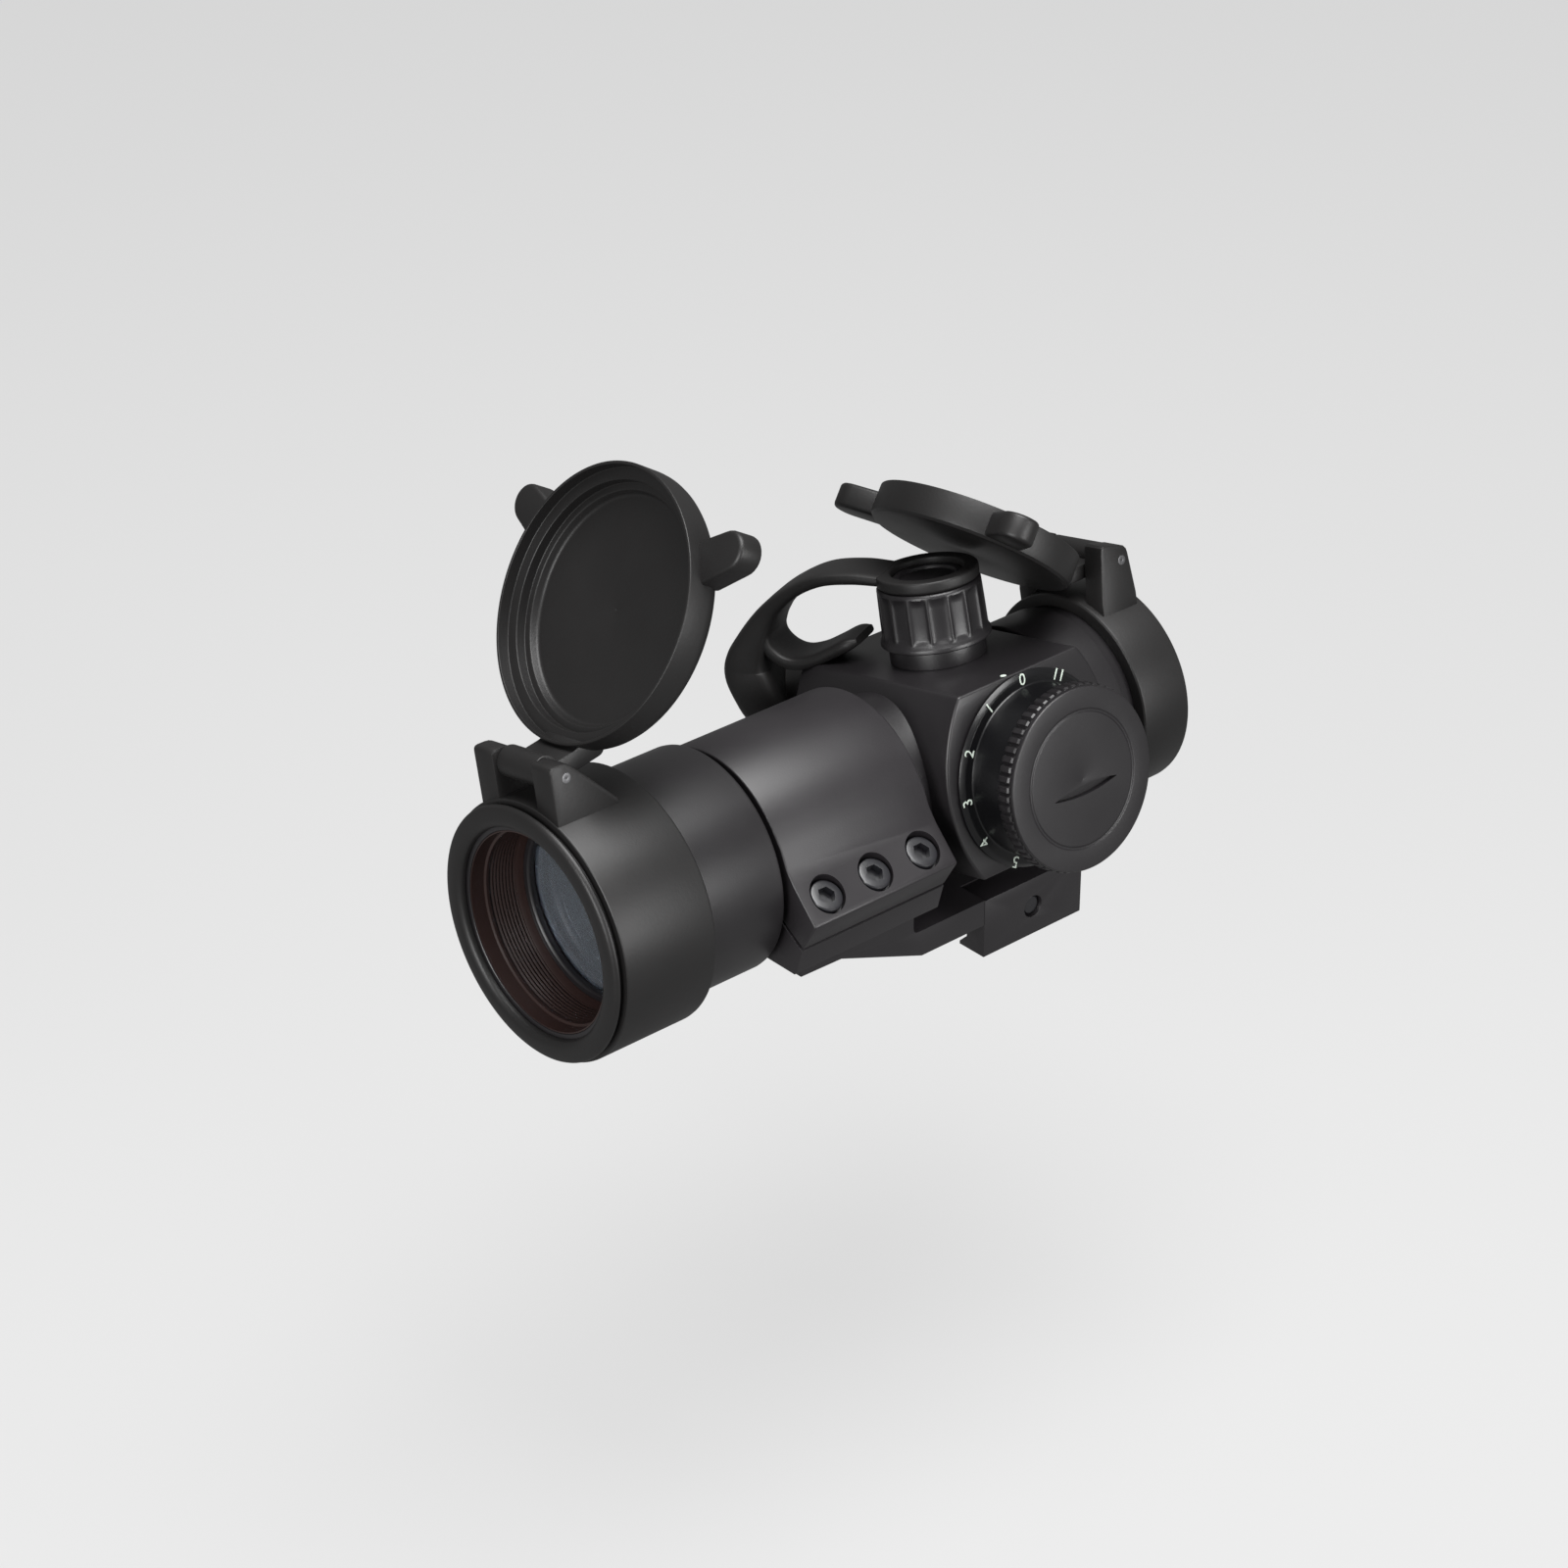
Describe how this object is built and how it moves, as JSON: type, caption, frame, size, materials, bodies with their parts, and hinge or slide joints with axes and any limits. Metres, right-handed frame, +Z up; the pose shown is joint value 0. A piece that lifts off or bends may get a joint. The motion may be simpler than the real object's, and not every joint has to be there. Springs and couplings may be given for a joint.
{
  "type": "finder scope",
  "caption": "Unmagnified 30 mm red-dot tube sight, used as a finder, in a cantilever ring mount with rail clamp, flip-up covers, brightness dial and strapped turret caps.",
  "frame": {"origin": "middle of the rail clamp on the flat face that sits on the rail, above the clamp bolt", "axes": "+X forward along the tube towards the target, +Y towards the brightness dial, +Z up away from the rail"},
  "size_m": [0.1314, 0.0746, 0.1012],
  "materials": {
    "tube_black": "satin black anodised",
    "mount_black": "satin black anodised",
    "screw_black": "blackened steel, satin",
    "plain_steel": "ground",
    "cover_black": "matte, fine grain",
    "strap_rubber": "matte",
    "seal_rubber": "matte",
    "objective_glass": "coated, pale blue-grey reflex",
    "eyepiece_glass": "coated",
    "mirror_glass": "dichroic coating",
    "brass": "turned",
    "board_green": "solder mask",
    "battery_steel": "nickel plated",
    "emitter": "clear red epoxy"
  },
  "bodies": {
    "mount": {"mount_base": "mount_black", "ring_cap": "mount_black", "ring_screws": "screw_black", "clamp_washer": "screw_black", "clamp_spring": "plain_steel"},
    "jaw": {"clamp_jaw": "mount_black"},
    "bolt": {"clamp_bolt": "screw_black"},
    "tube": {"main_tube": "tube_black", "objective_cell": "tube_black", "objective_lens": "objective_glass", "objective_retaining_ring": "tube_black", "objective_seal": "seal_rubber", "eyepiece_window": "eyepiece_glass", "eyepiece_ring": "tube_black", "eyepiece_seal": "seal_rubber", "inner_tube_spring": "plain_steel", "elevation_seat": "tube_black", "windage_seat": "tube_black", "elevation_cap_seal": "seal_rubber", "windage_cap_seal": "seal_rubber", "dial_plate": "tube_black", "circuit_board": "board_green", "battery_contact": "brass", "detent_ball": "plain_steel", "detent_spring": "plain_steel", "front_cover": "cover_black", "front_hinge_pin": "plain_steel", "front_lid_spring": "plain_steel", "rear_cover": "cover_black", "rear_hinge_pin": "plain_steel", "rear_lid_spring": "plain_steel", "cap_strap": "strap_rubber"},
    "gimbal": {"gimbal_ring": "brass"},
    "inner": {"inner_tube": "tube_black", "collimating_mirror": "mirror_glass", "dot_emitter": "emitter"},
    "front_lid": {"front_lid": "cover_black"},
    "rear_lid": {"rear_lid": "cover_black"},
    "elevation_cap": {"elevation_cap": "tube_black"},
    "windage_cap": {"windage_cap": "tube_black"},
    "elevation_adjuster": {"elevation_adjuster": "brass"},
    "windage_adjuster": {"windage_adjuster": "brass"},
    "dial": {"brightness_dial": "tube_black", "battery": "battery_steel"},
    "cap_lift": {"battery_cap_seal": "seal_rubber"},
    "battery_cap": {"battery_cap": "tube_black"}
  },
  "joints": [
    {"name": "clamp_bolt_turn", "type": "hinge", "parent": "mount", "child": "bolt", "pos_m": [0, 0, -0.0009], "axis": [0, 1, 0], "range_deg": [0, 1200]},
    {"name": "clamp_jaw_slide", "type": "slide", "parent": "mount", "child": "jaw", "axis": [0, 1, 0], "range_m": [0, 0.00233]},
    {"name": "tube_turn", "type": "hinge", "parent": "mount", "child": "tube", "pos_m": [0.0439, 0, 0.0263], "axis": [1, 0, 0], "range_deg": [-24, 4]},
    {"name": "front_lid_hinge", "type": "hinge", "parent": "tube", "child": "front_lid", "pos_m": [0.0925, -0.00542, 0.05295], "axis": [0, -0.9799, -0.1994], "range_deg": [-210, 0], "stiffness_Nm_per_rad": 0.002, "springref_deg": 171.89},
    {"name": "rear_lid_hinge", "type": "hinge", "parent": "tube", "child": "rear_lid", "pos_m": [-0.029, -0.00549, 0.05007], "axis": [0, 0.9744, 0.225], "range_deg": [-231, 0], "stiffness_Nm_per_rad": 0.002, "springref_deg": 171.89},
    {"name": "elevation_cap_turn", "type": "hinge", "parent": "tube", "child": "elevation_cap", "pos_m": [0.0058, -0.00382, 0.04286], "axis": [0, -0.225, 0.9744], "range_deg": [0, 1080]},
    {"name": "windage_cap_turn", "type": "hinge", "parent": "tube", "child": "windage_cap", "pos_m": [0.0058, -0.0192, 0.02187], "axis": [0, -0.9744, -0.225], "range_deg": [0, 1080]},
    {"name": "elevation_adjuster_turn", "type": "hinge", "parent": "tube", "child": "elevation_adjuster", "pos_m": [0.0058, -0.00382, 0.04286], "axis": [0, -0.225, 0.9744], "range_deg": [-720, 720]},
    {"name": "windage_adjuster_turn", "type": "hinge", "parent": "tube", "child": "windage_adjuster", "pos_m": [0.0058, -0.0192, 0.02187], "axis": [0, -0.9744, -0.225], "range_deg": [-720, 720]},
    {"name": "inner_tube_pitch", "type": "hinge", "parent": "tube", "child": "gimbal", "pos_m": [0.043, 0, 0.0263], "axis": [0, 0.9744, 0.225], "range_deg": [-1.1, 1.1]},
    {"name": "inner_tube_yaw", "type": "hinge", "parent": "gimbal", "child": "inner", "pos_m": [0.043, 0, 0.0263], "axis": [0, -0.225, 0.9744], "range_deg": [-1.1, 1.1]},
    {"name": "brightness_dial_turn", "type": "hinge", "parent": "tube", "child": "dial", "pos_m": [0.0058, 0.01949, 0.0308], "axis": [0, 0.9744, 0.225], "range_deg": [0, 300]},
    {"name": "battery_cap_turn", "type": "hinge", "parent": "cap_lift", "child": "battery_cap", "pos_m": [0.0058, 0.03021, 0.03327], "axis": [0, 0.9744, 0.225], "range_deg": [0, 1080]},
    {"name": "battery_cap_lift", "type": "slide", "parent": "dial", "child": "cap_lift", "axis": [0, 0.9744, 0.225], "range_m": [0, 0.00225]}
  ],
  "couplings": [
    {"joint": "clamp_bolt_turn", "follows": "clamp_jaw_slide", "rad_per_m": 8976},
    {"joint": "inner_tube_pitch", "follows": "elevation_adjuster_turn", "ratio": 0.0014974},
    {"joint": "inner_tube_yaw", "follows": "windage_adjuster_turn", "ratio": 0.0014974},
    {"joint": "battery_cap_turn", "follows": "battery_cap_lift", "rad_per_m": 8377.6}
  ]
}
